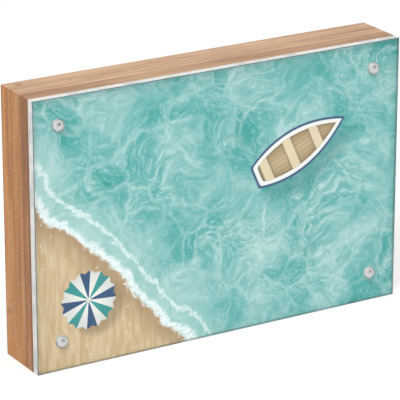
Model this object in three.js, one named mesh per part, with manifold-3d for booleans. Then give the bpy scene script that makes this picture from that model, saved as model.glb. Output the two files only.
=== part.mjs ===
// A free-standing bamboo picture frame for a 10 x 15 cm print, with a clear cover held on by magnets.
// Four mitred rails of laminated bamboo make the block.
// A backing board closes the block's front and a panel closes its back.
// The print lies between the backing board and an acrylic cover. Pairs of magnets near the corners grip it.
// Millimetres, +Z up, the picture faces -Y, and the origin is the middle of the footprint.
import * as THREE from "three";
import { RoundedBoxGeometry } from "three/addons/geometries/RoundedBoxGeometry.js";
import { mergeVertices } from "three/addons/utils/BufferGeometryUtils.js";
import Module from "manifold-3d";

// The bamboo block: its outside sizes, and the section of its rails.
const FRAME_WIDTH = 150;
const FRAME_HEIGHT = 100;
const RAIL_DEPTH = 20;
const RAIL_WIDTH = 16;
const ARRIS_RADIUS = 0.6;
const GLUE_LINE = 0.1;

// The rebates in front and behind, named by the rim of rail that stands outside them.
const FRONT_RIM = 4;
const BACK_RIM = 8;
const BOARD_THICKNESS = 4;
const PANEL_THICKNESS = 3;
const PANEL_RECESS = 0.8;
const BOARD_CLEARANCE = 0.15;

// The loose tongue across each mitre, set in from the outer corner and from the inner one.
const SPLINE_THICKNESS = 3;
const SPLINE_WIDTH = 8;
const SPLINE_OUTER_SETBACK = 7.5;
const SPLINE_INNER_SETBACK = 3;
const SPLINE_CLEARANCE = 0.3;

// The acrylic cover, a hair smaller than the block all round.
const COVER_THICKNESS = 3;
const COVER_INSET = 0.1;
const COVER_EDGE_RADIUS = 0.3;

// The print, as wide and high as the cover, with play on both faces.
const PRINT_THICKNESS = 0.25;
const PRINT_PLAY = 0.05;

// The magnets: their pockets stop short of the cover's front and of the backing board's back,
// and leave room for glue round each magnet and under it.
const MAGNET_DIAMETER = 4;
const MAGNET_INSET = 10.4;
const MAGNET_CLEARANCE = 0.25;
const MAGNET_BED = 0.1;
const MAGNET_RECESS = 0.1;
const MAGNET_CHAMFER = 0.25;
const COVER_SKIN = 1.3;
const BOARD_FLOOR = 0.8;

// How finely round shapes are cut, and how far a cut runs past the face that it opens.
const ROUND_SIDES = 40;
const ARRIS_STEPS = 2;
const COVER_EDGE_STEPS = 1;
const MERGE_DISTANCE = 1e-4;
const CUT_MARGIN = 1;

// Places along Y, from the cover's front face to the rails' back face.
const printGap = PRINT_THICKNESS + 2 * PRINT_PLAY;
const overallDepth = COVER_THICKNESS + printGap + RAIL_DEPTH;
const coverFrontY = -overallDepth / 2;
const coverBackY = coverFrontY + COVER_THICKNESS;
const printFrontY = coverBackY + PRINT_PLAY;
const seatY = coverBackY + printGap;
const railBackY = seatY + RAIL_DEPTH;
const panelBackY = railBackY - PANEL_RECESS;

// The rebates are as deep as the boards that lie in them need.
const frontRebateDepth = BOARD_THICKNESS + BOARD_CLEARANCE;
const backRebateDepth = PANEL_THICKNESS + PANEL_RECESS + BOARD_CLEARANCE;

// The splines lie along the mitres' diagonals, between their setbacks, midway between the rebates.
const mitreLength = RAIL_WIDTH * Math.SQRT2;
const splineLength = mitreLength - SPLINE_OUTER_SETBACK - SPLINE_INNER_SETBACK;
const splineFromSides = (SPLINE_OUTER_SETBACK + splineLength / 2) / Math.SQRT2;
const splineDepth = (frontRebateDepth + RAIL_DEPTH - backRebateDepth) / 2;

// The corners of the front, with the side that each lies on.
const corners = [
  { name: "top_left", sideX: -1, sideZ: 1 },
  { name: "top_right", sideX: 1, sideZ: 1 },
  { name: "bottom_left", sideX: -1, sideZ: -1 },
  { name: "bottom_right", sideX: 1, sideZ: -1 },
];

// The colours and finishes that the object shows.
const railBamboo = new THREE.MeshStandardMaterial({ color: "#c8986c", roughness: 0.5 });
const boardBamboo = new THREE.MeshStandardMaterial({ color: "#cfa77c", roughness: 0.6 });
const splineWood = new THREE.MeshStandardMaterial({ color: "#b98a5c", roughness: 0.7 });
const nickel = new THREE.MeshStandardMaterial({ color: "#c9c9cb", roughness: 0.2, metalness: 1 });
const photoPaper = new THREE.MeshStandardMaterial({ color: "#8fcfca", roughness: 0.35 });
const clearAcrylic = new THREE.MeshStandardMaterial({
  color: "#eef4f4",
  roughness: 0.05,
  transparent: true,
  opacity: 0.25,
});

const wasm = await Module();
wasm.setup();

// A closed geometry as a solid that can be joined and cut.
function toSolid(geometry) {
  const bare = geometry.clone();
  bare.deleteAttribute("normal");
  bare.deleteAttribute("uv");
  const merged = mergeVertices(bare, MERGE_DISTANCE);
  const mesh = new wasm.Mesh({
    numProp: 3,
    vertProperties: new Float32Array(merged.attributes.position.array),
    triVerts: new Uint32Array(merged.index.array),
  });
  return new wasm.Manifold(mesh);
}

// A cut solid back as a geometry.
function toGeometry(solid) {
  const mesh = solid.getMesh();
  const geometry = new THREE.BufferGeometry();
  geometry.setAttribute("position", new THREE.BufferAttribute(mesh.vertProperties, 3));
  geometry.setIndex(new THREE.BufferAttribute(mesh.triVerts, 1));
  geometry.computeVertexNormals();
  return geometry;
}

// A named piece in its group.
function addPiece(group, name, geometry, material) {
  const mesh = new THREE.Mesh(geometry, material);
  mesh.name = name;
  group.add(mesh);
  return mesh;
}

// A plain box given by its low and high corner.
function boxBetween(low, high) {
  const size = high.map((value, axis) => value - low[axis]);
  const middle = high.map((value, axis) => (value + low[axis]) / 2);
  return new THREE.BoxGeometry(...size).translate(...middle);
}

// A point set in from the sides of the front by the same amount, at one of its corners.
function insetPoint(corner, inset) {
  return {
    x: corner.sideX * (FRAME_WIDTH / 2 - inset),
    z: FRAME_HEIGHT / 2 + corner.sideZ * (FRAME_HEIGHT / 2 - inset),
  };
}

// A flat sheet set in from the block's outline by the same amount all round, between two depths.
function sheetGeometry(inset, frontY, backY) {
  const halfWidth = FRAME_WIDTH / 2 - inset;
  return boxBetween([-halfWidth, frontY, inset], [halfWidth, backY, FRAME_HEIGHT - inset]);
}

// A sheet with a round magnet pocket at each corner, between two depths.
function withMagnetPockets(sheet, fromY, toY) {
  const radius = MAGNET_DIAMETER / 2 + MAGNET_CLEARANCE;
  let solid = toSolid(sheet);
  for (const corner of corners) {
    const at = insetPoint(corner, MAGNET_INSET);
    const pocket = new THREE.CylinderGeometry(radius, radius, toY - fromY, ROUND_SIDES);
    pocket.translate(at.x, (fromY + toY) / 2, at.z);
    solid = solid.subtract(toSolid(pocket));
  }
  return toGeometry(solid);
}

// A round magnet with eased edges, from y = 0 backwards.
function magnetGeometry(length) {
  const radius = MAGNET_DIAMETER / 2;
  const profile = [
    new THREE.Vector2(0, 0),
    new THREE.Vector2(radius - MAGNET_CHAMFER, 0),
    new THREE.Vector2(radius, MAGNET_CHAMFER),
    new THREE.Vector2(radius, length - MAGNET_CHAMFER),
    new THREE.Vector2(radius - MAGNET_CHAMFER, length),
    new THREE.Vector2(0, length),
  ];
  return new THREE.LatheGeometry(profile, ROUND_SIDES);
}

// One magnet at each corner, with its front face at the given depth.
function addMagnets(group, prefix, frontY, length) {
  for (const corner of corners) {
    const at = insetPoint(corner, MAGNET_INSET);
    const magnet = addPiece(group, prefix + corner.name, magnetGeometry(length), nickel);
    magnet.position.set(at.x, frontY, at.z);
  }
}

// A box of the spline's size, grown by a clearance and turned about Y to lie along a corner's diagonal.
function splineGeometry(sideX, sideZ, clearance) {
  const grow = 2 * clearance;
  const box = new THREE.BoxGeometry(splineLength + grow, SPLINE_THICKNESS + grow, SPLINE_WIDTH + grow);
  return box.rotateY((-sideX * sideZ * Math.PI) / 4);
}

// One rail along X: its outer face lies at z = 0, its inner face above it, and its front at y = 0.
// The block is as wide as the rail is long, and reaches across from its outer face.
function railGeometry(length, across) {
  // The ends are cut at 45 degrees, half a glue line short of the mitre.
  const outerHalf = length / 2 - (GLUE_LINE / 2) * Math.SQRT2;
  const innerHalf = outerHalf - RAIL_WIDTH;
  const outline = new THREE.Shape([
    new THREE.Vector2(-outerHalf, 0),
    new THREE.Vector2(outerHalf, 0),
    new THREE.Vector2(innerHalf, RAIL_WIDTH),
    new THREE.Vector2(-innerHalf, RAIL_WIDTH),
  ]);
  const bar = new THREE.ExtrudeGeometry(outline, { depth: RAIL_DEPTH, bevelEnabled: false });
  bar.rotateX(Math.PI / 2).translate(0, RAIL_DEPTH, 0);

  // The whole block, with its arrises rounded, eases the rail's outer edges.
  const block = new RoundedBoxGeometry(length, RAIL_DEPTH, across, ARRIS_STEPS, ARRIS_RADIUS);
  block.translate(0, RAIL_DEPTH / 2, across / 2);
  let rail = toSolid(bar).intersect(toSolid(block));

  // A rebate along the inner edge of the front and of the back.
  const beyond = RAIL_WIDTH + CUT_MARGIN;
  const frontRebate = boxBetween([-length, -CUT_MARGIN, FRONT_RIM], [length, frontRebateDepth, beyond]);
  const backRebate = boxBetween(
    [-length, RAIL_DEPTH - backRebateDepth, BACK_RIM],
    [length, RAIL_DEPTH + CUT_MARGIN, beyond],
  );
  rail = rail.subtract(toSolid(frontRebate)).subtract(toSolid(backRebate));

  // A spline slot in each mitre.
  for (const end of [-1, 1]) {
    const slot = splineGeometry(end, -1, SPLINE_CLEARANCE);
    slot.translate(end * (length / 2 - splineFromSides), splineDepth, splineFromSides);
    rail = rail.subtract(toSolid(slot));
  }
  return toGeometry(rail);
}

const frame = new THREE.Group();

// The four rails, each turned about Y so that its outer face looks outwards.
const rails = [
  { name: "bottom_rail", level: true, x: 0, z: 0, turn: 0 },
  { name: "top_rail", level: true, x: 0, z: FRAME_HEIGHT, turn: Math.PI },
  { name: "left_rail", level: false, x: -FRAME_WIDTH / 2, z: FRAME_HEIGHT / 2, turn: Math.PI / 2 },
  { name: "right_rail", level: false, x: FRAME_WIDTH / 2, z: FRAME_HEIGHT / 2, turn: -Math.PI / 2 },
];
for (const rail of rails) {
  const length = rail.level ? FRAME_WIDTH : FRAME_HEIGHT;
  const across = rail.level ? FRAME_HEIGHT : FRAME_WIDTH;
  const mesh = addPiece(frame, rail.name, railGeometry(length, across), railBamboo);
  mesh.position.set(rail.x, seatY, rail.z);
  mesh.rotation.y = rail.turn;
}

// The splines, hidden in the mitres.
for (const corner of corners) {
  const at = insetPoint(corner, splineFromSides);
  const geometry = splineGeometry(corner.sideX, corner.sideZ, 0);
  const spline = addPiece(frame, "mitre_spline_" + corner.name, geometry, splineWood);
  spline.position.set(at.x, seatY + splineDepth, at.z);
}

// The backing board fills the front rebate, flush with the rails, with its magnets in pockets in its face.
const boardSheet = sheetGeometry(FRONT_RIM + BOARD_CLEARANCE, seatY, seatY + BOARD_THICKNESS);
const boardPocketDepth = BOARD_THICKNESS - BOARD_FLOOR;
const backingBoard = withMagnetPockets(boardSheet, seatY - CUT_MARGIN, seatY + boardPocketDepth);
addPiece(frame, "backing_board", backingBoard, boardBamboo);
const frameMagnetLength = boardPocketDepth - MAGNET_RECESS - MAGNET_BED;
addMagnets(frame, "frame_magnet_", seatY + MAGNET_RECESS, frameMagnetLength);

// The back panel lies in the rear rebate, a little below the rails' back.
const backPanel = sheetGeometry(BACK_RIM + BOARD_CLEARANCE, panelBackY - PANEL_THICKNESS, panelBackY);
addPiece(frame, "back_panel", backPanel, boardBamboo);

// The print, loose between the backing board and the cover.
const print = sheetGeometry(COVER_INSET, printFrontY, printFrontY + PRINT_THICKNESS);
addPiece(frame, "photo_print", print, photoPaper);

// The cover and its magnets come away together.
const cover = new THREE.Group();
frame.add(cover);

// The cover's pockets open at its back, so that the magnets show through the clear skin in front.
const coverSheet = new RoundedBoxGeometry(
  FRAME_WIDTH - 2 * COVER_INSET,
  COVER_THICKNESS,
  FRAME_HEIGHT - 2 * COVER_INSET,
  COVER_EDGE_STEPS,
  COVER_EDGE_RADIUS,
);
coverSheet.translate(0, (coverFrontY + coverBackY) / 2, FRAME_HEIGHT / 2);
const coverPocketY = coverFrontY + COVER_SKIN;
const acrylicCover = withMagnetPockets(coverSheet, coverPocketY, coverBackY + CUT_MARGIN);
addPiece(cover, "acrylic_cover", acrylicCover, clearAcrylic);
const coverMagnetLength = COVER_THICKNESS - COVER_SKIN - MAGNET_RECESS - MAGNET_BED;
addMagnets(cover, "cover_magnet_", coverPocketY + MAGNET_BED, coverMagnetLength);

export default frame;
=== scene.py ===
# A free-standing bamboo picture frame for a 10 x 15 cm print, with a clear cover held on by magnets.
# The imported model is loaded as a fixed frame, and each of its pieces is finished around it, in metres.
import math

import bpy
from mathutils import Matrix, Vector


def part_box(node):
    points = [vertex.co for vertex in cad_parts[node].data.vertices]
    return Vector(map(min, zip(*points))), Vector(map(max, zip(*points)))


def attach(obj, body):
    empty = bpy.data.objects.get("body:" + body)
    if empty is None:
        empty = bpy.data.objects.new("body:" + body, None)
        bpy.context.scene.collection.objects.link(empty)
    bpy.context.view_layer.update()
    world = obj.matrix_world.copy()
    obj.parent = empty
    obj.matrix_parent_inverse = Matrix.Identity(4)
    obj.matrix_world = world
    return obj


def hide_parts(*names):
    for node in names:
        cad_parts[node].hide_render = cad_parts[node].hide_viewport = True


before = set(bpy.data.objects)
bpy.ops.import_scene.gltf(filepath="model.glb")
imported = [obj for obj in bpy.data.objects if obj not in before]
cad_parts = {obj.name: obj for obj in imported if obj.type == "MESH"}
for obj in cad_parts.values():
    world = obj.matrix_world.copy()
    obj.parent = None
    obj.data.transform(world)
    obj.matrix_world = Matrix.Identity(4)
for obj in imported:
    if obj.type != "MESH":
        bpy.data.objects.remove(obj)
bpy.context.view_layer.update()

# Rails
# Four sticks of laminated bamboo make the block: strips of cane are glued face to face and planed square.
# A rebate is milled along the front and the back of each, and the ends are sawn at 45 degrees and slotted.
# They are glued up with a spline across each corner, and the block is then sanded, which rounds its arrises.
MM = 0.001
RAIL_WIDTH = 16 * MM
FRONT_RIM = 4 * MM
FRONT_REBATE = 4.15 * MM
BACK_RIM = 8 * MM
BACK_REBATE = 3.95 * MM
GLUE_LINE = 0.1 * MM
SLOT_LENGTH = 12.7 * MM
SLOT_THICKNESS = 3.6 * MM
SLOT_WIDTH = 8.6 * MM
MITRE = math.radians(45)
ARRIS = 0.4 * MM
ARRIS_STEPS = 5
SEAT_ARRIS = 0.12 * MM
EASE_STEPS = 3
CUT_MARGIN = 1 * MM
SMOOTH_ANGLE = math.radians(35)
X, Z = 0, 2
corner_names = ("top_left", "top_right", "bottom_left", "bottom_right")


def start_block(name, low, high):
    """Adds a cube that fills the box between two corners, as the only thing selected."""
    bpy.ops.object.select_all(action="DESELECT")
    bpy.ops.mesh.primitive_cube_add(size=1, location=(low + high) / 2, scale=high - low)
    block = bpy.context.object
    block.name = name
    bpy.ops.object.transform_apply(location=True, rotation=True, scale=True)
    return block


def pick(piece, kind, wanted):
    """Enters edit mode with the faces or edges of a piece selected that pass a test.

    The test gets the middle of each, with a face's normal or an edge's direction."""
    bpy.context.view_layer.objects.active = piece
    bpy.ops.object.mode_set(mode="EDIT")
    bpy.ops.mesh.select_mode(type=kind)
    bpy.ops.mesh.select_all(action="DESELECT")
    bpy.ops.object.mode_set(mode="OBJECT")
    if kind == "FACE":
        for face in piece.data.polygons:
            face.select = wanted(face.center, face.normal)
    else:
        for edge in piece.data.edges:
            start, end = (piece.data.vertices[index].co for index in edge.vertices)
            edge.select = wanted((start + end) / 2, (end - start).normalized())
    bpy.ops.object.mode_set(mode="EDIT")


def ease_edges(piece, wanted, radius, steps):
    """Rounds the edges of a piece that pass a test."""
    pick(piece, "EDGE", wanted)
    bpy.ops.mesh.bevel(offset=radius, segments=steps, affect="EDGES")
    bpy.ops.object.mode_set(mode="OBJECT")


def carve(piece, tool, operation):
    """Cuts a piece with a second solid, which is used up."""
    cut = piece.modifiers.new("cut", "BOOLEAN")
    cut.operation = operation
    cut.solver = "EXACT"
    cut.object = tool
    bpy.context.view_layer.objects.active = piece
    bpy.ops.object.modifier_apply(modifier=cut.name)
    bpy.data.objects.remove(tool, do_unlink=True)


def smooth_shade(piece):
    """Shades the rounded stretches of a piece smooth and leaves its corners crisp and its flats flat."""
    bpy.ops.object.select_all(action="DESELECT")
    piece.select_set(True)
    bpy.context.view_layer.objects.active = piece
    bpy.ops.object.shade_smooth_by_angle(angle=SMOOTH_ANGLE)
    flats = piece.modifiers.new("flats", "WEIGHTED_NORMAL")
    flats.keep_sharp = True
    bpy.ops.object.modifier_apply(modifier=flats.name)


block_low = Vector((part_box("left_rail")[0].x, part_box("left_rail")[0].y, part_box("bottom_rail")[0].z))
block_high = Vector((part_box("right_rail")[1].x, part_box("right_rail")[1].y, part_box("top_rail")[1].z))


def slot_cutter(corner):
    """A box as large as the slot of a spline, along the diagonal of its mitre."""
    low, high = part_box("mitre_spline_" + corner)
    lean = MITRE if corner in ("top_left", "bottom_right") else -MITRE
    bpy.ops.object.select_all(action="DESELECT")
    bpy.ops.mesh.primitive_cube_add(
        size=1, location=(low + high) / 2, rotation=(0, lean, 0),
        scale=(SLOT_LENGTH, SLOT_THICKNESS, SLOT_WIDTH),
    )
    bpy.ops.object.transform_apply(location=True, rotation=True, scale=True)
    return bpy.context.object


def make_rail(side_name, along, across, side):
    """A rail along one axis, with its outer face on one side of the block across another."""
    outer = block_high[across] if side > 0 else block_low[across]
    inner = outer - side * RAIL_WIDTH
    low, high = block_low.copy(), block_high.copy()
    low[across], high[across] = sorted((outer, inner))
    rail = start_block("bamboo_rail_" + side_name, low, high)

    # The saw cuts each end at 45 degrees, half a glue line short of the mitre.
    bpy.ops.object.mode_set(mode="EDIT")
    for end in (-1, 1):
        bpy.ops.mesh.select_all(action="SELECT")
        saw_at = Vector(high if end > 0 else low)
        saw_at[along] -= end * GLUE_LINE / 2 * math.sqrt(2)
        saw_at[across] = outer
        saw_normal = Vector((0, 0, 0))
        saw_normal[along] = end
        saw_normal[across] = -side
        bpy.ops.mesh.bisect(plane_co=saw_at, plane_no=saw_normal, use_fill=True, clear_outer=True)
    bpy.ops.object.mode_set(mode="OBJECT")

    # The router takes out the rebates, from the rim to past the inner face.
    rebates = (
        (FRONT_RIM, low.y - CUT_MARGIN, low.y + FRONT_REBATE),
        (BACK_RIM, high.y - BACK_REBATE, high.y + CUT_MARGIN),
    )
    for rim, from_y, to_y in rebates:
        cut_low, cut_high = low.copy(), high.copy()
        cut_low[across], cut_high[across] = sorted((outer - side * rim, inner - side * CUT_MARGIN))
        cut_low.y, cut_high.y = from_y, to_y
        carve(rail, start_block("rebate_cutter", cut_low, cut_high), "DIFFERENCE")

    # A slot for half of a spline is milled into each mitre.
    for corner in corner_names:
        if side_name in corner:
            carve(rail, slot_cutter(corner), "DIFFERENCE")

    # Sanding rounds the arrises of the whole block, less where the cover meets it.
    sanded_block = start_block("sanded_block", block_low, block_high)
    ease_edges(sanded_block, lambda middle, direction: middle.y > low.y + CUT_MARGIN, ARRIS, ARRIS_STEPS)
    ease_edges(sanded_block, lambda middle, direction: middle.y < low.y + CUT_MARGIN, SEAT_ARRIS, EASE_STEPS)
    carve(rail, sanded_block, "INTERSECT")
    smooth_shade(rail)
    return rail


def linear(colour):
    """A hex colour in sRGB as linear red, green, blue and alpha."""
    channels = [int(colour[digit:digit + 2], 16) / 255 for digit in (1, 3, 5)]
    return [c / 12.92 if c <= 0.04045 else ((c + 0.055) / 1.055) ** 2.4 for c in channels] + [1]


def wire(owner, node, inputs):
    """Sets inputs of a node, by socket name or number, to a value or to what a socket or a node gives."""
    for key, value in inputs.items():
        named = [s for s in node.inputs if s.name == key and s.enabled]
        socket = named[0] if named else node.inputs[key]
        if isinstance(value, bpy.types.Node):
            value = next(s for s in value.outputs if s.enabled)
        if isinstance(value, bpy.types.NodeSocket):
            owner.node_tree.links.new(value, socket)
        else:
            socket.default_value = value


def add_node(owner, kind, inputs=None, stops=(), **settings):
    """Adds a node to a material or world, with its settings, its inputs and the stops of a colour ramp."""
    node = owner.node_tree.nodes.new("ShaderNode" + kind)
    for setting, value in settings.items():
        setattr(node, setting, value)
    wire(owner, node, inputs or {})
    for number, (position, colour) in enumerate(stops):
        ramp = node.color_ramp.elements
        stop = ramp[number] if number < 2 else ramp.new(position)
        stop.position = position
        stop.color = linear(colour)
    return node


def new_material(name):
    """A named material with nodes, and its shader."""
    material = bpy.data.materials.new(name)
    material.use_nodes = True
    return material, material.node_tree.nodes["Principled BSDF"]


def laminated_bamboo(name, turn, strips, flecked, marks, seed):
    """Sanded bamboo under a thin satin lacquer: strips of slightly different tone with a fine dark glue line
    between them, hair-thin fibres along the grain, and dark marks, such as a knuckle where the cane had a
    joint, and also patches and lines of painted shade.

    The turn brings the grain to the pattern's X and the row of strips to its Y. Each strip is given by where
    it starts and ends in that row, in millimetres, and by its tone. The more flecked the cane is, the more
    its long fibres give way to short specks. Each mark is given by its place along the grain, across the
    strips and into them, by half its size that way, and by its strength."""
    material, shader = new_material(name)
    place = add_node(material, "TexCoord")
    grain = add_node(material, "Mapping", {
        "Vector": place.outputs["Object"], "Rotation": turn, "Scale": (1 / MM, 1 / MM, 1 / MM),
    })
    grain_axes = add_node(material, "SeparateXYZ", {"Vector": grain})

    # The strips, with a glue line a tenth of a millimetre wide, drawn wider so that it shows.
    glue_tone = "#8a5a30"
    drawn_line = 0.2
    row_start = strips[0][0]
    row_end = strips[-1][1]
    row = add_node(material, "MapRange", {
        "Value": grain_axes.outputs["Y"], "From Min": row_start, "From Max": row_end,
    })
    stops = []
    for start, end, tone in strips:
        strip_stops = [(start + drawn_line, tone), (end - drawn_line, tone), (end, glue_tone)]
        stops += [((at - row_start) / (row_end - row_start), colour) for at, colour in strip_stops]
    colour = add_node(material, "ValToRGB", {"Fac": row}, stops=stops[:-1])

    # Layers of noise, each with its length along the grain and its width, in millimetres, and its detail.
    # Fibres are about 0.2 mm wide and are drawn at 0.5 mm, and specks at 0.8 mm, the finest that show.
    layer_sizes = {
        "drift": (45, 7, 2),
        "streaks": (70, 1.6, 3),
        "fibres": (28, 0.5, 3),
        "bundles": (7, 0.45, 2),
        "specks": (0.55, 0.8, 1),
    }
    layers = {}
    for layer, (length, width, detail) in layer_sizes.items():
        drawn_out = add_node(material, "Mapping", {
            "Vector": grain, "Scale": (1 / length, 1 / width, 1 / width),
        })
        layers[layer] = add_node(material, "TexNoise", {
            "Vector": drawn_out, "W": seed, "Scale": 1.0, "Detail": detail,
        }, noise_dimensions="4D")

    # Each tint has its layer, where in the noise it begins and is full, its blend, its colour and strength.
    tints = (
        ("drift", 0.50, 0.72, "MIX", "#e6c294", 0.25),
        ("drift", 0.50, 0.30, "MULTIPLY", "#c2946f", 0.40),
        ("streaks", 0.50, 0.70, "MULTIPLY", "#b08159", 0.35),
        ("streaks", 0.50, 0.30, "MIX", "#e8c79c", 0.20),
        ("fibres", 0.50, 0.72, "MULTIPLY", "#a87b55", 0.65 - 0.5 * flecked),
        ("bundles", 0.60, 0.72, "MULTIPLY", "#8f6543", 0.60 - 0.6 * flecked),
        ("specks", 0.50, 0.66, "MULTIPLY", "#a87b55", 0.8 * flecked),
        ("specks", 0.50, 0.34, "MIX", "#e6c294", 0.4 * flecked),
    )
    for layer, begin, full, blend, tint, strength in tints:
        amount = add_node(material, "MapRange", {
            "Value": layers[layer], "From Min": begin, "From Max": full, "To Max": strength,
        })
        colour = add_node(material, "Mix", {
            "Factor": amount, "A": colour, "B": linear(tint),
        }, data_type="RGBA", blend_type=blend)

    # The marks are darker cane, full in the middle and gone at their rim. Knuckles and the rear scorches are
    # the cane's own colour; the other marks are painted shade.
    mark_and_shade_tone = "#7c4f2c"
    for mark_at, half_size, strength in marks:
        from_mark = add_node(material, "Mapping", {
            "Vector": grain, "Location": [-at / half for at, half in zip(mark_at, half_size)],
            "Scale": [1 / half for half in half_size],
        })
        distance = add_node(material, "VectorMath", {0: from_mark}, operation="LENGTH")
        amount = add_node(material, "MapRange", {
            "Value": distance.outputs["Value"], "From Min": 1.0, "From Max": 0.35, "To Max": strength,
        }, interpolation_type="SMOOTHSTEP")
        colour = add_node(material, "Mix", {
            "Factor": amount, "A": colour, "B": linear(mark_and_shade_tone),
        }, data_type="RGBA")

    # The lacquer is duller over the fibres, which stand as fine ridges under it.
    satin = add_node(material, "MapRange", {
        "Value": layers["fibres"], "From Min": 0.3, "From Max": 0.7, "To Min": 0.38, "To Max": 0.5,
    })
    ridges = add_node(material, "Bump", {
        "Height": layers["fibres"], "Strength": 0.25, "Distance": 0.06 * MM,
    })
    wire(material, shader, {
        "Base Color": colour, "Roughness": satin, "Normal": ridges, "Specular IOR Level": 0.38,
    })
    return material


# The strips lie one behind the other, from the front of the block to its back. The level rails get paler
# tones and the upright ones deeper, more flecked ones: the difference in tone is painted light, the lit top
# against the shaded side. Each upright rail has a line of painted shade along its front outer corner, where
# it meets the cover, and a saw scorch along its rear one. A broad patch of painted shade darkens the top
# front of the left rail. A knuckle is a few millimetres long, as wide as its strip, and goes right through.
THROUGH = 10000
KNUCKLE_STRENGTH = 0.45
SHADE_LINE_AND_SCORCH_SIZE = (500, 0.9, 2.5)
PALE_FLECKS = 0.1
DEEP_FLECKS = 0.32
front_mm = block_low.y / MM
strip_ends = (0, 5.8, 8.2, 11.6, 15.4, 20)
# Tones of the level and the upright rails: painted light, paler for the lit top, deeper for the shaded side.
level_tones_painted_lit = ("#b58a62", "#d6ab83", "#c79e76", "#c79d76", "#d3ad88")
upright_tones_painted_shaded = ("#a16427", "#b67730", "#b67730", "#b87831", "#c27d33")
# A broad patch of painted shade over the top front of the left rail.
top_front_shade = ((98, front_mm + 1.5, 0), (55, 7, THROUGH), 0.45)
grain_level = (0, 0, 0)
grain_upright = (0, math.radians(90), 0)


def knuckle(along, across, half_length, half_width):
    """The dark mark of a joint in the cane, which runs right through it."""
    return (along, across, 0), (half_length, half_width, THROUGH), KNUCKLE_STRENGTH


def shade_line_and_scorch(side):
    """Painted shade along an upright rail's front corner, by the cover, and a saw scorch along the rear one,
    on one side of the block.
    """
    middle_mm = 50
    outer_mm = -side * block_high.x / MM
    # The front line is painted shade where the wood meets the cover; the rear one is a saw scorch.
    return [
        ((middle_mm, front_mm + 0.4, outer_mm), SHADE_LINE_AND_SCORCH_SIZE, 1.0),
        ((middle_mm, front_mm + 19.8, outer_mm), SHADE_LINE_AND_SCORCH_SIZE, 0.85),
    ]


top_marks = [knuckle(-70, 8, 2.2, 2.4)]
bottom_marks = [knuckle(31, -3, 1.8, 2.4)]
left_marks = [knuckle(17, 9.5, 1.8, 2.0), top_front_shade] + shade_line_and_scorch(-1)
right_marks = [knuckle(66, 1, 1.6, 2.2)] + shade_line_and_scorch(1)
rails = (
    ("top", X, Z, 1, grain_level, level_tones_painted_lit, PALE_FLECKS, top_marks, 1.0),
    ("bottom", X, Z, -1, grain_level, level_tones_painted_lit, PALE_FLECKS, bottom_marks, 2.0),
    ("left", Z, X, -1, grain_upright, upright_tones_painted_shaded, DEEP_FLECKS, left_marks, 3.0),
    ("right", Z, X, 1, grain_upright, upright_tones_painted_shaded, DEEP_FLECKS, right_marks, 4.0),
)
for side_name, along, across, side, turn, tones, flecked, marks, seed in rails:
    rail = make_rail(side_name, along, across, side)
    strips = [
        (front_mm + start, front_mm + end, tone)
        for start, end, tone in zip(strip_ends, strip_ends[1:], tones)
    ]
    bamboo = laminated_bamboo("laminated_bamboo_" + side_name, turn, strips, flecked, marks, seed)
    rail.data.materials.append(bamboo)
    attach(rail, "block")
    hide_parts(side_name + "_rail")

# Mitre splines
# A loose tongue of beech is glued into the slots across each mitre, where the rails hide it.
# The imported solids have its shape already, so they only get their wood.
RAY_LENGTH = 1.111 * MM
RAY_WIDTH = 0.4 * MM

# Planed beech: pinkish tan, with short darker flecks where its rays are cut.
beech, beech_shader = new_material("planed_beech")
place = add_node(beech, "TexCoord")
ray_place = add_node(beech, "Mapping", {
    "Vector": place.outputs["Object"], "Scale": (1 / RAY_LENGTH, 1 / RAY_WIDTH, 1 / RAY_LENGTH),
})
ray_flecks = add_node(beech, "TexNoise", {"Vector": ray_place, "Scale": 1.0, "Detail": 4})
beech_tone = add_node(beech, "ValToRGB", {"Fac": ray_flecks}, stops=((0.35, "#a97b50"), (0.65, "#c69a6c")))
wire(beech, beech_shader, {"Base Color": beech_tone, "Roughness": 0.6})
for corner in corner_names:
    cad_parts["mitre_spline_" + corner].material_slots[0].material = beech

# Backing board
# A board of bamboo ply is glued into the front rebate, flush with the rails. Its face is one layer of flat
# cane strips with the grain from side to side. A blind pocket is drilled near each corner for a magnet.
MAGNET_CLEARANCE = 0.25 * MM
MAGNET_BED = 0.1 * MM
ROUND_SIDES = 64
BOARD_EDGE = 0.25 * MM
PLY_KNUCKLE = (2.5, 10)


def every_edge(middle, direction):
    """Passes each edge."""
    return True


def add_cylinder(radius, middle, depth):
    """Adds a cylinder that lies along Y, as the only thing selected."""
    bpy.ops.object.select_all(action="DESELECT")
    bpy.ops.mesh.primitive_cylinder_add(
        vertices=ROUND_SIDES, radius=radius, depth=depth, location=middle, rotation=(math.pi / 2, 0, 0),
    )
    bpy.ops.object.transform_apply(location=True, rotation=True, scale=True)
    return bpy.context.object


def drill(piece, magnet_node, from_y, to_y):
    """Drills a round pocket with a magnet's clearance round it, between two depths."""
    low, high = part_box(magnet_node)
    radius = (high.x - low.x) / 2 + MAGNET_CLEARANCE
    middle = (low + high) / 2
    middle.y = (from_y + to_y) / 2
    carve(piece, add_cylinder(radius, middle, to_y - from_y), "DIFFERENCE")


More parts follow.
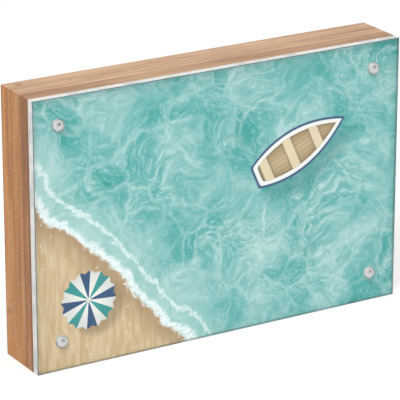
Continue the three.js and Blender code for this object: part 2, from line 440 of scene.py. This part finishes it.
board = start_block("bamboo_backing_board", *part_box("backing_board"))
ease_edges(board, every_edge, BOARD_EDGE, EASE_STEPS)
for corner in corner_names:
    magnet_node = "frame_magnet_" + corner
    drill(board, magnet_node, block_low.y - CUT_MARGIN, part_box(magnet_node)[1].y + MAGNET_BED)
smooth_shade(board)
ply_strips = (
    (0, 17, "#c2925c"), (17, 36, "#b98650"), (36, 55, "#c99b66"),
    (55, 73, "#bd8b54"), (73, 90, "#c59660"), (90, 100, "#b8864f"),
)
grain_face = (math.radians(-90), 0, 0)
board_knuckles = [
    knuckle(along, across, *PLY_KNUCKLE)
    for along, across in ((-38, 27), (22, 64), (51, 45), (-9, 81))
]
board_ply = laminated_bamboo("bamboo_ply_board", grain_face, ply_strips, PALE_FLECKS, board_knuckles, 5.0)
board.data.materials.append(board_ply)
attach(board, "block")
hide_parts("backing_board")

# Back panel
# A thinner sheet of the same bamboo ply closes the back. It is glued into the rear rebate, a little below
# the rails, and its edges are eased.
PANEL_EDGE = 0.4 * MM
panel = start_block("bamboo_back_panel", *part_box("back_panel"))
ease_edges(panel, every_edge, PANEL_EDGE, EASE_STEPS)
smooth_shade(panel)
panel_knuckles = [
    knuckle(along, across, *PLY_KNUCKLE)
    for along, across in ((-44, 64), (8, 27), (37, 81))
]
panel_ply = laminated_bamboo("bamboo_ply_panel", grain_face, ply_strips, PALE_FLECKS, panel_knuckles, 6.0)
panel.data.materials.append(panel_ply)
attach(panel, "block")
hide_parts("back_panel")

# Magnets
# Eight sintered discs with bright nickel plate: tumbling leaves their edges round and their faces a little
# crowned. Four are glued into the backing board and four into the cover, where they show through its skin.
CROWN = 0.05 * MM
CROWN_RINGS = 6
RIM_ROUND = 0.2 * MM
RIM_STEPS = 4
STRAIGHT = 0.99
HAZE_SIZE = 0.6 * MM
# Place and size of the painted reflection, a dark spot on each disc.
REFLECTION_SPOT_AT = (0.3 * MM, 0, 0.5 * MM)
REFLECTION_SPOT_CORE = 0.7 * MM
REFLECTION_SPOT_RIM = 2.1 * MM
REFLECTION_SPOT_WANDER = 1.2 * MM


def make_magnet(name, node):
    """A disc with round rims and a crowned front face, in the place of a packed magnet."""
    low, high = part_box(node)
    low.y += CROWN
    radius = (high.x - low.x) / 2
    magnet = add_cylinder(radius, (low + high) / 2, high.y - low.y)
    magnet.name = name
    ease_edges(magnet, lambda middle, direction: abs(direction.y) < STRAIGHT, RIM_ROUND, RIM_STEPS)
    pick(magnet, "FACE", lambda middle, normal: normal.y < -STRAIGHT)
    ring = (radius - RIM_ROUND) / (CROWN_RINGS + 1)
    for number in range(CROWN_RINGS):
        before = 1 - number / (CROWN_RINGS + 1)
        after = 1 - (number + 1) / (CROWN_RINGS + 1)
        bpy.ops.mesh.inset(thickness=ring)
        bpy.ops.transform.translate(value=(0, -CROWN * (before ** 2 - after ** 2), 0))
    bpy.ops.object.mode_set(mode="OBJECT")
    smooth_shade(magnet)
    return magnet


# Bright nickel: a mirror with a faint haze from tumbling, and a painted reflection: a dark grey spot a
# little off the middle that stands for a dark thing mirrored in the disc. The place is wrapped from one
# corner of the frame to the next, so that every disc has its spot.
nickel, nickel_shader = new_material("bright_nickel_plate")
place = add_node(nickel, "TexCoord")
haze = add_node(nickel, "TexNoise", {
    "Vector": place.outputs["Object"], "Scale": 1 / HAZE_SIZE, "Detail": 3,
})
disc_low, disc_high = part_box("cover_magnet_top_right")
disc_middle = (disc_low + disc_high) / 2
half_pitch = Vector((disc_middle.x, 1, disc_middle.z - (block_low.z + block_high.z) / 2))
from_corner = add_node(nickel, "VectorMath", {
    0: place.outputs["Object"], 1: disc_middle,
}, operation="SUBTRACT")
on_disc = add_node(nickel, "VectorMath", {0: from_corner, 1: half_pitch, 2: -half_pitch}, operation="WRAP")
on_face = add_node(nickel, "VectorMath", {0: on_disc, 1: (1, 0, 1)}, operation="MULTIPLY")
from_reflection_spot = add_node(nickel, "VectorMath", {0: on_face, 1: REFLECTION_SPOT_AT}, operation="DISTANCE")
uneven = add_node(nickel, "Math", {
    0: haze, 1: REFLECTION_SPOT_WANDER, 2: from_reflection_spot.outputs["Value"],
}, operation="MULTIPLY_ADD")
clear_of_reflection_spot = add_node(nickel, "MapRange", {"Value": uneven, "From Min": REFLECTION_SPOT_CORE, "From Max": REFLECTION_SPOT_RIM})
nickel_and_reflection_tone = add_node(nickel, "ValToRGB", {"Fac": clear_of_reflection_spot}, stops=(
    (0.0, "#8a8785"), (0.4, "#bbb9b7"), (0.8, "#d2d0ce"),
))
nickel_haze = add_node(nickel, "MapRange", {"Value": haze, "To Min": 0.1, "To Max": 0.24})
wire(nickel, nickel_shader, {"Base Color": nickel_and_reflection_tone, "Roughness": nickel_haze, "Metallic": 1.0})

for body, prefix in (("block", "frame_magnet_"), ("cover", "cover_magnet_")):
    first_node = prefix + corner_names[0]
    first_disc = make_magnet("disc_" + first_node, first_node)
    first_disc.data.materials.append(nickel)
    discs = [first_disc]
    for corner in corner_names[1:]:
        disc = first_disc.copy()
        disc.data = first_disc.data.copy()
        disc.name = "disc_" + prefix + corner
        bpy.context.collection.objects.link(disc)
        bpy.ops.object.select_all(action="DESELECT")
        disc.select_set(True)
        bpy.context.view_layer.objects.active = disc
        disc.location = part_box(prefix + corner)[0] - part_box(first_node)[0]
        bpy.ops.object.transform_apply(location=True, rotation=True, scale=True)
        discs.append(disc)
    for disc, corner in zip(discs, corner_names):
        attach(disc, body)
        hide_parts(prefix + corner)

# Photo print
# A sheet of resin-coated paper, printed to its edge, which lies loose between board and cover. Its cut sides
# are white, and its corners are worn round by a hair.
# Its picture is a plain summer one: a shore from above, with a parasol on the sand and a rowing boat.
WORN_CORNER = 0.2 * MM
WORN_STEPS = 4
PAPER_SIDE, INK_FACE = 0, 1
print_low, print_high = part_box("photo_print")
sheet = start_block("print_sheet", print_low, print_high)
ease_edges(sheet, lambda middle, direction: abs(direction.y) > STRAIGHT, WORN_CORNER, WORN_STEPS)
smooth_shade(sheet)

# White paper: matt, with a soft mottle of fibres.
paper, paper_shader = new_material("resin_coated_paper")
place = add_node(paper, "TexCoord")
mottle = add_node(paper, "TexNoise", {
    "Vector": place.outputs["Object"], "Scale": 1 / (1.5 * MM), "Detail": 4,
})
paper_tone = add_node(paper, "ValToRGB", {"Fac": mottle}, stops=((0.3, "#e9e8e3"), (0.7, "#f4f3ef")))
wire(paper, paper_shader, {"Base Color": paper_tone, "Roughness": 0.55})

# The printed face: ink under a semi-gloss coat. The picture is laid out in millimetres from the middle of
# the sheet, as layers that are painted over the water one after the other, each with an amount and a colour.
ink, ink_shader = new_material("printed_photo_face")
place = add_node(ink, "TexCoord")
middle_mm = (print_low.z + print_high.z) / 2 / MM
design = add_node(ink, "Mapping", {
    "Vector": place.outputs["Object"], "Rotation": grain_face, "Scale": (1 / MM, 0, 1 / MM),
    "Location": (0, -middle_mm, 0),
})
painted = []

# Water: turquoise, deeper and paler in patches that a slow swirl draws out.
swirl = add_node(ink, "TexNoise", {"Vector": design, "Scale": 1 / 30, "Detail": 3})
stirred = add_node(ink, "VectorMath", {
    0: swirl.outputs["Color"], 1: (34, 34, 0), 2: design,
}, operation="MULTIPLY_ADD")
water_depth = add_node(ink, "TexNoise", {"Vector": stirred, "Scale": 1 / 24, "Detail": 7, "Roughness": 0.66})
water = add_node(ink, "ValToRGB", {"Fac": water_depth}, stops=(
    (0.32, "#0b9990"), (0.41, "#43a8a2"), (0.52, "#78bab6"), (0.63, "#9fcbc8"), (0.76, "#bfdad8"),
))

# Light on the water: pale wisps along the swell, a loose net of bright lines in patches, and a fine ripple
# that is drawn a little coarse so that it shows. Each has where it begins and is full, strength and tint.
patches = add_node(ink, "TexNoise", {"Vector": design, "Scale": 1 / 30, "Detail": 2})
sunny = add_node(ink, "MapRange", {"Value": patches, "From Min": 0.34, "From Max": 0.66, "To Min": 0.15})
swell = add_node(ink, "Mapping", {
    "Vector": stirred, "Rotation": (0, 0, math.radians(-38)), "Scale": (1 / 12, 1 / 4, 1),
})
wisps = add_node(ink, "TexNoise", {
    "Vector": swell, "Scale": 1.0, "Detail": 9, "Roughness": 0.74, "Distortion": 1.1,
})
net = add_node(ink, "TexVoronoi", {"Vector": stirred, "Scale": 1 / 12}, feature="DISTANCE_TO_EDGE")
ripple = add_node(ink, "TexNoise", {"Vector": stirred, "Scale": 1 / 1.5, "Detail": 4, "Roughness": 0.7})
sunlight = (
    (wisps, 0.50, 0.74, 0.85, "#dcebea"),
    (wisps, 0.46, 0.30, 0.55, "#1b9c94"),
    (net.outputs["Distance"], 0.11, 0.0, 0.32, "#e3f0ef"),
    (ripple, 0.50, 0.70, 0.60, "#d3e5e4"),
    (ripple, 0.48, 0.30, 0.45, "#399f98"),
)
for pattern, begin, full, strength, tint in sunlight:
    glint = add_node(ink, "MapRange", {
        "Value": pattern, "From Min": begin, "From Max": full, "To Max": strength,
    }, interpolation_type="SMOOTHSTEP")
    painted.append((add_node(ink, "Math", {0: glint, 1: sunny}, operation="MULTIPLY"), linear(tint)))

# Shore: sand fills one corner, wet along the waterline, with a hem of foam and pale shallows beyond it.
SHORE_NORMAL = (0.735, 0.678, 0)
SHORE_OFFSET = 35.9
off_shore = add_node(ink, "VectorMath", {0: design, 1: SHORE_NORMAL}, operation="DOT_PRODUCT")
seaward = add_node(ink, "Math", {0: off_shore.outputs["Value"], 1: SHORE_OFFSET}, operation="ADD")
for bay_size, bay_reach in ((30, 14), (8, 4)):
    bays = add_node(ink, "TexNoise", {"Vector": design, "Scale": 1 / bay_size, "Detail": 3})
    seaward = add_node(ink, "Math", {0: bays, 1: bay_reach, 2: seaward}, operation="MULTIPLY_ADD")
shallows = add_node(ink, "MapRange", {"Value": seaward, "From Min": 16, "From Max": 0, "To Max": 0.7})
beach = add_node(ink, "MapRange", {"Value": seaward, "From Min": 0.4, "From Max": -0.4})
wet = add_node(ink, "MapRange", {"Value": seaward, "From Min": -9, "From Max": -2, "To Max": 0.7})
wet_beach = add_node(ink, "Math", {0: wet, 1: beach}, operation="MULTIPLY")
painted.append((shallows, linear("#bcdcd9")))

# The sand is blown into faint ripples along the shore and strewn with grains and small shells.
blown = add_node(ink, "Mapping", {
    "Vector": design, "Rotation": (0, 0, math.radians(-42.7)), "Scale": (1 / 1.8, 1 / 11, 1),
})
sand_ripples = add_node(ink, "TexNoise", {"Vector": blown, "Scale": 1.0, "Detail": 3, "Distortion": 0.6})
sand = add_node(ink, "ValToRGB", {"Fac": sand_ripples}, stops=(
    (0.3, "#c9a87c"), (0.5, "#d7bb92"), (0.7, "#e3cba8"),
))
grains = add_node(ink, "TexNoise", {"Vector": design, "Scale": 1 / 0.5, "Detail": 2})
speckle = add_node(ink, "MapRange", {"Value": grains, "From Min": 0.52, "From Max": 0.7, "To Max": 0.45})
speckled = add_node(ink, "Math", {0: speckle, 1: beach}, operation="MULTIPLY")
shells = add_node(ink, "TexVoronoi", {"Vector": design, "Scale": 1 / 4, "Randomness": 1.0})
shell = add_node(ink, "MapRange", {
    "Value": shells.outputs["Distance"], "From Min": 0.10, "From Max": 0.06, "To Max": 0.8,
})
strewn = add_node(ink, "Math", {0: shell, 1: beach}, operation="MULTIPLY")
painted += [
    (beach, sand),
    (speckled, linear("#a98b63")),
    (wet_beach, linear("#a5835c")),
    (strewn, linear("#f3ebdd")),
]

# Foam: a broad hem along the waterline and a thin one before it, both broken up by bubbles.
lace = add_node(ink, "TexNoise", {"Vector": stirred, "Scale": 1 / 3, "Detail": 4, "Roughness": 0.7})
ragged = add_node(ink, "Math", {0: lace, 1: 7.0, 2: -3.5}, operation="MULTIPLY_ADD")
foam_place = add_node(ink, "Math", {0: seaward, 1: ragged}, operation="ADD")
bubbles = add_node(ink, "TexVoronoi", {"Vector": stirred, "Scale": 1 / 1.3}, feature="DISTANCE_TO_EDGE")
film = add_node(ink, "MapRange", {
    "Value": bubbles.outputs["Distance"], "From Min": 0.30, "From Max": 0.08, "To Min": 0.45, "To Max": 1.0,
})
for hem_at, hem_width, strength in ((1.0, 1.9, 1.0), (7.5, 1.1, 0.75)):
    hem_side = add_node(ink, "Math", {0: foam_place, 1: hem_at}, operation="SUBTRACT")
    hem_gap = add_node(ink, "Math", {0: hem_side}, operation="ABSOLUTE")
    hem = add_node(ink, "MapRange", {
        "Value": hem_gap, "From Min": hem_width, "From Max": hem_width / 3, "To Max": strength,
    })
    painted.append((add_node(ink, "Math", {0: hem, 1: film}, operation="MULTIPLY"), linear("#f1f7f6")))

# Parasol: panels in white, navy, white and teal, four times round, with its shadow on the sand.
PARASOL_AT = (-53.5, -26.5, 0)
PARASOL_SHADOW_AT = (-50, -30, 0)
PARASOL_RADIUS = 10.5
PANEL_ROUNDS = 4
PANEL_TURN = 4.3
HALF_PANEL = 0.125
SCALLOP = 9.0
under_parasol = add_node(ink, "VectorMath", {0: design, 1: PARASOL_SHADOW_AT}, operation="DISTANCE")
parasol_shade = add_node(ink, "MapRange", {
    "Value": under_parasol.outputs["Value"], "From Min": PARASOL_RADIUS + 1, "From Max": PARASOL_RADIUS - 2,
    "To Max": 0.5,
})
canopy = add_node(ink, "Mapping", {"Vector": design, "Location": PARASOL_AT}, vector_type="TEXTURE")
spoke = add_node(ink, "SeparateXYZ", {"Vector": canopy})
angle = add_node(ink, "Math", {0: spoke.outputs["Y"], 1: spoke.outputs["X"]}, operation="ARCTAN2")
rounds = add_node(ink, "Math", {
    0: angle, 1: PANEL_ROUNDS / (2 * math.pi), 2: PANEL_TURN,
}, operation="MULTIPLY_ADD")
panel_place = add_node(ink, "Math", {0: rounds}, operation="FRACT")
panels = add_node(ink, "ValToRGB", {"Fac": panel_place}, stops=(
    (0.0, "#f3f1ec"), (0.25, "#1d4f7c"), (0.5, "#f3f1ec"), (0.75, "#2a9d9a"),
))
panels.color_ramp.interpolation = "CONSTANT"
from_rib = add_node(ink, "Math", {0: rounds, 1: HALF_PANEL}, operation="PINGPONG")
from_pole = add_node(ink, "VectorMath", {0: canopy}, operation="LENGTH")
scalloped = add_node(ink, "Math", {
    0: from_rib, 1: SCALLOP, 2: from_pole.outputs["Value"],
}, operation="MULTIPLY_ADD")
covered = add_node(ink, "MapRange", {
    "Value": scalloped, "From Min": PARASOL_RADIUS + 0.7, "From Max": PARASOL_RADIUS + 0.4,
})
canopy_fall = add_node(ink, "MapRange", {
    "Value": from_pole.outputs["Value"], "From Min": 2, "From Max": PARASOL_RADIUS, "To Max": 0.22,
})
canopy_shade = add_node(ink, "Math", {0: canopy_fall, 1: covered}, operation="MULTIPLY")
finial = add_node(ink, "MapRange", {"Value": from_pole.outputs["Value"], "From Min": 1.0, "From Max": 0.7})
painted += [
    (parasol_shade, linear("#7c5f41")),
    (covered, panels),
    (canopy_shade, linear("#2b3a44")),
    (finial, linear("#e9e2d2")),
]

# Rowing boat: white gunwale with a navy strake, pale boards and thwarts inside, and a shadow on the sea bed.
BOAT_AT = (30, 13, 0)
BOAT_SHADOW_AT = (34.5, 7.5, 0)
BOAT_TURN = (0, 0, math.radians(24))
HALF_LENGTH = 25
HALF_BEAM = 8.5
STERN = 17
STERN_ROUND = 1.6
HALF_BOARD = 0.9
HALF_THWART_PITCH = 5.75


def hull_edge(on_boat):
    """How far outside the boat's edge a point lies, in millimetres. Its bow is pointed, its stern square."""
    ahead = on_boat.outputs["X"]
    square = add_node(ink, "Math", {0: ahead, 1: ahead}, operation="MULTIPLY")
    narrow = add_node(ink, "Math", {
        0: square, 1: HALF_BEAM / HALF_LENGTH ** 2, 2: -HALF_BEAM,
    }, operation="MULTIPLY_ADD")
    beside = add_node(ink, "Math", {0: on_boat.outputs["Y"]}, operation="ABSOLUTE")
    flank = add_node(ink, "Math", {0: beside, 1: narrow}, operation="ADD")
    transom = add_node(ink, "Math", {0: ahead, 1: -1.0, 2: -STERN}, operation="MULTIPLY_ADD")
    return add_node(ink, "Math", {0: flank, 1: transom, 2: STERN_ROUND}, operation="SMOOTH_MAX")


boat_places = []
for boat_at in (BOAT_SHADOW_AT, BOAT_AT):
    turned = add_node(ink, "Mapping", {
        "Vector": design, "Location": boat_at, "Rotation": BOAT_TURN,
    }, vector_type="TEXTURE")
    boat_places.append(add_node(ink, "SeparateXYZ", {"Vector": turned}))
sea_bed, afloat = boat_places
dimmed = add_node(ink, "MapRange", {
    "Value": hull_edge(sea_bed), "From Min": 2.5, "From Max": -2.5, "To Max": 0.6,
})
from_edge = hull_edge(afloat)
hull = add_node(ink, "MapRange", {"Value": from_edge, "From Min": 0.2, "From Max": -0.2})
hull_row = add_node(ink, "MapRange", {"Value": from_edge, "From Min": -9, "From Max": 0})
hull_tone = add_node(ink, "ValToRGB", {"Fac": hull_row}, stops=(
    (0.0, "#cdb48d"), (0.60, "#b2966d"), (0.70, "#7d6547"),
    (0.73, "#f2efe8"), (0.88, "#f7f5f0"), (0.91, "#1f4d79"),
))
in_boat = add_node(ink, "MapRange", {"Value": from_edge, "From Min": -2.3, "From Max": -2.8})
from_seam = add_node(ink, "Math", {0: afloat.outputs["Y"], 1: HALF_BOARD}, operation="PINGPONG")
seam = add_node(ink, "MapRange", {"Value": from_seam, "From Min": 0.22, "From Max": 0.05, "To Max": 0.45})
floor_seams = add_node(ink, "Math", {0: seam, 1: in_boat}, operation="MULTIPLY")
from_thwart = add_node(ink, "Math", {0: afloat.outputs["X"], 1: HALF_THWART_PITCH}, operation="PINGPONG")
thwart = add_node(ink, "MapRange", {"Value": from_thwart, "From Min": 1.9, "From Max": 1.6})
thwarts = add_node(ink, "Math", {0: thwart, 1: in_boat}, operation="MULTIPLY")
thwart_dark = add_node(ink, "MapRange", {
    "Value": from_thwart, "From Min": 3.0, "From Max": 1.7, "To Max": 0.5,
})
thwart_shade = add_node(ink, "Math", {0: thwart_dark, 1: in_boat}, operation="MULTIPLY")
painted += [
    (dimmed, linear("#258883")),
    (hull, hull_tone),
    (floor_seams, linear("#80684a")),
    (thwart_shade, linear("#6d573d")),
    (thwarts, linear("#e6d3b0")),
]

picture = water
for amount, tint in painted:
    picture = add_node(ink, "Mix", {"Factor": amount, "A": picture, "B": tint}, data_type="RGBA")
wire(ink, ink_shader, {"Base Color": picture, "Roughness": 0.35, "Specular IOR Level": 0.15})
for finish in (paper, ink):
    sheet.data.materials.append(finish)
for face in sheet.data.polygons:
    face.material_index = INK_FACE if face.normal.y < -STRAIGHT else PAPER_SIDE
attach(sheet, "print")
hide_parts("photo_print")

# Acrylic cover
# A sheet of clear cast acrylic as large as the block, with polished faces. Its edges are sawn and sanded,
# which leaves them white and frosted, and scraped at the corners. The magnets that hold it on sit in blind
# pockets, drilled from behind.
FRONT_ARRIS = 0.22 * MM
REAR_ARRIS = 0.04 * MM
SCRAPE_STEPS = 1
NEAR_EDGE = 2 * FRONT_ARRIS
CLEAR_FACE, SANDED_EDGE, SCRAPED_CORNER, DRILLED_WALL = 0, 1, 2, 3
cover_low, cover_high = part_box("acrylic_cover")
cover = start_block("clear_cover_sheet", cover_low, cover_high)
ease_edges(cover, lambda middle, direction: middle.y < cover_low.y + REAR_ARRIS, FRONT_ARRIS, SCRAPE_STEPS)
ease_edges(cover, lambda middle, direction: middle.y > cover_low.y + NEAR_EDGE, REAR_ARRIS, SCRAPE_STEPS)
for corner in corner_names:
    magnet_node = "cover_magnet_" + corner
    drill(cover, magnet_node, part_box(magnet_node)[0].y - MAGNET_BED, cover_high.y + CUT_MARGIN)
smooth_shade(cover)

# Polished acrylic: clear, with a faint waviness of the cast sheet. Lamps shine through it on the print.
clear, clear_shader = new_material("clear_cast_acrylic")
place = add_node(clear, "TexCoord")
wave = add_node(clear, "TexNoise", {"Vector": place.outputs["Object"], "Scale": 1 / (9 * MM), "Detail": 2})
wavy = add_node(clear, "Bump", {"Height": wave, "Strength": 0.05, "Distance": 0.05 * MM})
smudge = add_node(clear, "MapRange", {"Value": wave, "To Min": 0.0, "To Max": 0.03})
wire(clear, clear_shader, {
    "Base Color": linear("#fbfdfd"), "Roughness": smudge, "Normal": wavy, "IOR": 1.49,
    "Transmission Weight": 1.0, "Specular Tint": linear("#bcbcbc"),
})
ray = add_node(clear, "LightPath")
see_through = add_node(clear, "BsdfTransparent", {"Color": linear("#f6f9f9")})
acrylic = add_node(clear, "MixShader", {0: ray.outputs["Is Shadow Ray"], 1: clear_shader, 2: see_through})
wire(clear, clear.node_tree.nodes["Material Output"], {"Surface": acrylic})

# Sanded edge: white frost with a painted tint of bounced light, warm beside the wood and cool towards the
# front, and greyer bands where the saw chattered. From inside the sheet it is a dull mirror that shows the
# rim of the print again, with painted shade that darkens it towards the front. It lets less daylight
# through near the print, which shades the print's rim.
frost, frost_shader = new_material("sanded_acrylic_edge")
place = add_node(frost, "TexCoord")
sheet_axes = add_node(frost, "SeparateXYZ", {"Vector": place.outputs["Object"]})
from_front = add_node(frost, "MapRange", {
    "Value": sheet_axes.outputs["Y"], "From Min": cover_low.y, "From Max": cover_high.y,
})
# Painted bounced light: warm near the wood, cool towards the front.
bounce_tinted_frost = add_node(frost, "ValToRGB", {"Fac": from_front}, stops=((0.1, "#dde5e7"), (0.8, "#ebe3da")))
chatter = add_node(frost, "TexNoise", {
    "Vector": place.outputs["Object"], "Scale": 1 / (7 * MM), "Detail": 4,
})
chattered = add_node(frost, "MapRange", {"Value": chatter, "From Min": 0.56, "From Max": 0.38})
frost_tone = add_node(frost, "Mix", {
    "Factor": chattered, "A": bounce_tinted_frost, "B": linear("#c8cac9"),
}, data_type="RGBA")
from_inside = add_node(frost, "NewGeometry").outputs["Backfacing"]
# Painted shade: the mirror seen from inside is darker towards the front.
mirror_with_painted_shade = add_node(frost, "ValToRGB", {"Fac": from_front}, stops=((0.05, "#6f7879"), (0.95, "#e0e6e6")))
edge_tone = add_node(frost, "Mix", {
    "Factor": from_inside, "A": frost_tone, "B": mirror_with_painted_shade,
}, data_type="RGBA")
sanding = add_node(frost, "MapRange", {"Value": from_inside, "To Min": 0.55, "To Max": 0.2})
wire(frost, frost_shader, {"Base Color": edge_tone, "Roughness": sanding, "Metallic": from_inside})
ray = add_node(frost, "LightPath")
daylight_tone = add_node(frost, "ValToRGB", {"Fac": from_front}, stops=((0.35, "#f6f9f9"), (1.0, "#a2aaaa")))
daylight = add_node(frost, "BsdfTransparent", {"Color": daylight_tone})
frosted = add_node(frost, "MixShader", {0: ray.outputs["Is Shadow Ray"], 1: frost_shader, 2: daylight})
wire(frost, frost.node_tree.nodes["Material Output"], {"Surface": frosted})

# Drilled pocket: the bit leaves its wall milky, with fine rings. The wall glows with the light behind it,
# and lets most of that light through to the magnet.
drilled, drilled_shader = new_material("drilled_acrylic_wall")
place = add_node(drilled, "TexCoord")
ring_place = add_node(drilled, "Mapping", {
    "Vector": place.outputs["Object"], "Scale": (1 / (3 * MM), 1 / (0.25 * MM), 1 / (3 * MM)),
})
rings = add_node(drilled, "TexNoise", {"Vector": ring_place, "Scale": 1.0, "Detail": 2})
milk = add_node(drilled, "ValToRGB", {"Fac": rings}, stops=((0.35, "#dfe3e3"), (0.65, "#f2f4f4")))
wire(drilled, drilled_shader, {"Base Color": milk, "Roughness": 0.5})
glow_through = add_node(drilled, "BsdfTranslucent", {"Color": milk})
milky_wall = add_node(drilled, "MixShader", {0: 0.5, 1: drilled_shader, 2: glow_through})
ray = add_node(drilled, "LightPath")
let_through = add_node(drilled, "BsdfTransparent", {"Color": linear("#e6eaea")})
lit_wall = add_node(drilled, "MixShader", {0: ray.outputs["Is Shadow Ray"], 1: milky_wall, 2: let_through})
wire(drilled, drilled.node_tree.nodes["Material Output"], {"Surface": lit_wall})

# Scraped corner: a narrow line round the front whose dark grey is painted shade, for the dark line the
# chamfer shows between frost and print; it only shines where it is seen at a flat angle.
scraped, scraped_shader = new_material("scraped_acrylic_corner")
place = add_node(scraped, "TexCoord")
nicks = add_node(scraped, "TexNoise", {
    "Vector": place.outputs["Object"], "Scale": 1 / (3 * MM), "Detail": 3,
})
painted_dark_line_tone = add_node(scraped, "ValToRGB", {"Fac": nicks}, stops=((0.35, "#465153"), (0.65, "#5f6b6d")))
wire(scraped, scraped_shader, {"Base Color": painted_dark_line_tone, "Roughness": 0.15, "Specular IOR Level": 1.0})

for finish in (clear, frost, scraped, drilled):
    cover.data.materials.append(finish)
for face in cover.data.polygons:
    middle = face.center
    to_side = min(middle.x - cover_low.x, cover_high.x - middle.x)
    to_end = min(middle.z - cover_low.z, cover_high.z - middle.z)
    upright = abs(face.normal.y) < 1 - STRAIGHT
    in_front = middle.y < cover_low.y + NEAR_EDGE
    if min(to_side, to_end) > NEAR_EDGE:
        face.material_index = DRILLED_WALL if upright else CLEAR_FACE
    else:
        face.material_index = SCRAPED_CORNER if in_front and not upright else SANDED_EDGE
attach(cover, "cover")
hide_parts("acrylic_cover")

# Studio
# A white floor and a white surround, one large soft lamp from the upper left front, and fill from all sides.
# Floor and surround are white to the eye, to mirrors and through glass, and dimmer as a light.
FILL = 0.66
FLOOR_SIZE = 6
FLOOR_GLOW = 0.42
LAMP_SIZE = 1.8
LAMP_POWER = 36.0
LAMP_AT = Vector((-1.24, -1.2, 1.75))
LAMP_AIM = Vector((0, 0, 0.05))
scene = bpy.context.scene
scene.view_settings.view_transform = "Standard"


def seen_white(owner):
    """One for what the eye sees, also in mirrors and through glass, and nothing for the rays that light."""
    ray = add_node(owner, "LightPath")
    seen = ray.outputs["Is Camera Ray"]
    for way in ("Is Glossy Ray", "Is Transmission Ray"):
        seen = add_node(owner, "Math", {0: seen, 1: ray.outputs[way]}, operation="ADD", use_clamp=True)
    return seen


surround = bpy.data.worlds.new("white_surround")
surround.use_nodes = True
scene.world = surround
brightness = add_node(surround, "MapRange", {"Value": seen_white(surround), "To Min": FILL, "To Max": 1.0})
wire(surround, surround.node_tree.nodes["Background"], {"Color": (1, 1, 1, 1), "Strength": brightness})

# White paper: matt, and lit up for the eye until only the shadow on it shows.
bpy.ops.object.select_all(action="DESELECT")
bpy.ops.mesh.primitive_plane_add(size=FLOOR_SIZE)
floor = bpy.context.object
floor.name = "studio_floor"
white, white_shader = new_material("white_paper_floor")
glow = add_node(white, "Math", {0: seen_white(white), 1: FLOOR_GLOW}, operation="MULTIPLY")
wire(white, white_shader, {
    "Base Color": linear("#d2d2d2"), "Roughness": 0.9, "Specular IOR Level": 0.0,
    "Emission Color": (1, 1, 1, 1), "Emission Strength": glow,
})
floor.data.materials.append(white)

lamp = bpy.data.lights.new("soft_box", "AREA")
lamp.shape = "DISK"
lamp.size = LAMP_SIZE
lamp.energy = LAMP_POWER
soft_box = bpy.data.objects.new("soft_box", lamp)
bpy.context.collection.objects.link(soft_box)
soft_box.location = LAMP_AT
soft_box.rotation_euler = (LAMP_AIM - LAMP_AT).to_track_quat("-Z", "Y").to_euler()

# Camera
# It looks down on the front from the left with a long lens.
CAMERA_AT = (-0.47536, -0.78876, 0.37727)
LOOK_DOWN = math.radians(19.692)
LOOK_RIGHT = math.radians(30.953)
LENS = 245.65
SENSOR = 36.0
NEAREST = 0.01
camera_data = bpy.data.cameras.new("camera")
camera_data.lens = LENS
camera_data.sensor_width = SENSOR
camera_data.clip_start = NEAREST
camera = bpy.data.objects.new("camera", camera_data)
bpy.context.collection.objects.link(camera)
camera.location = CAMERA_AT
camera.rotation_euler = (math.pi / 2 - LOOK_DOWN, 0, -LOOK_RIGHT)
scene.camera = camera
